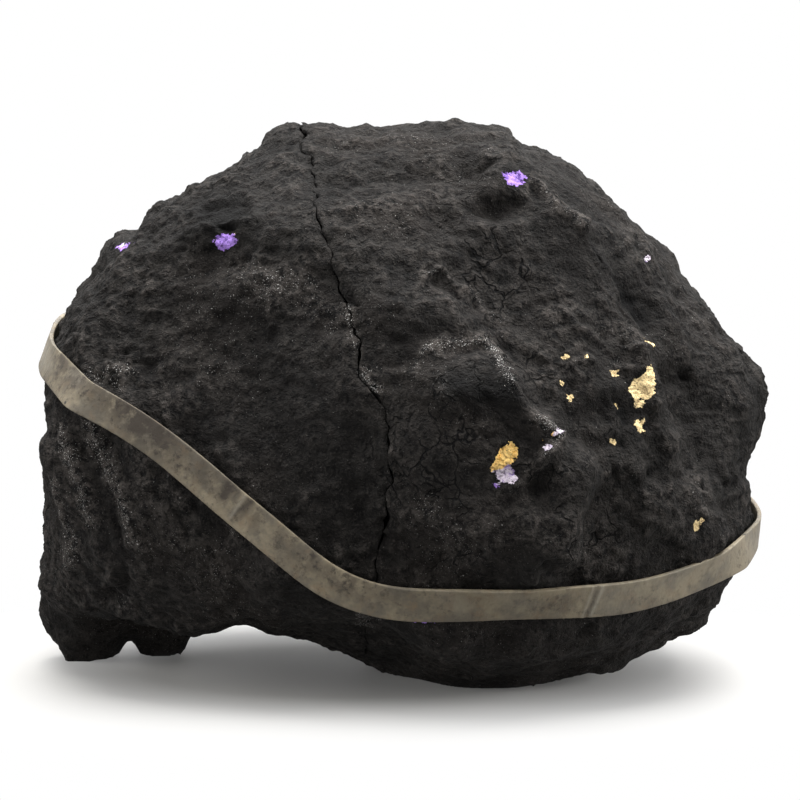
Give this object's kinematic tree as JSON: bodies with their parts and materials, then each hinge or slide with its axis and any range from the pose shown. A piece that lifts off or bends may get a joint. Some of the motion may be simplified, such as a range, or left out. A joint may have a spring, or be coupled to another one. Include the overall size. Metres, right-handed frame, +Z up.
{
  "type": "calcite geode",
  "caption": "Dark-crusted calcite geode broken into two halves along a jagged crack, held shut by a flat rubber band stretched aslant round it.",
  "frame": {"origin": "the floor under the middle of the geode's bounding box", "axes": "+Z up, +X to the right and along the longest extent, and -Y towards the side that shows the crack and the low run of the band"},
  "size_m": [0.111, 0.0953, 0.0844],
  "materials": {
    "crust_left": "matte, dusty, rough stone crust",
    "crust_right": "matte, dusty, rough stone crust",
    "band": "satin, soiled, aged"
  },
  "bodies": {
    "root": {"geode_left_half": "crust_left", "geode_right_half": "crust_right", "rubber_band": "band"}
  },
  "joints": []
}
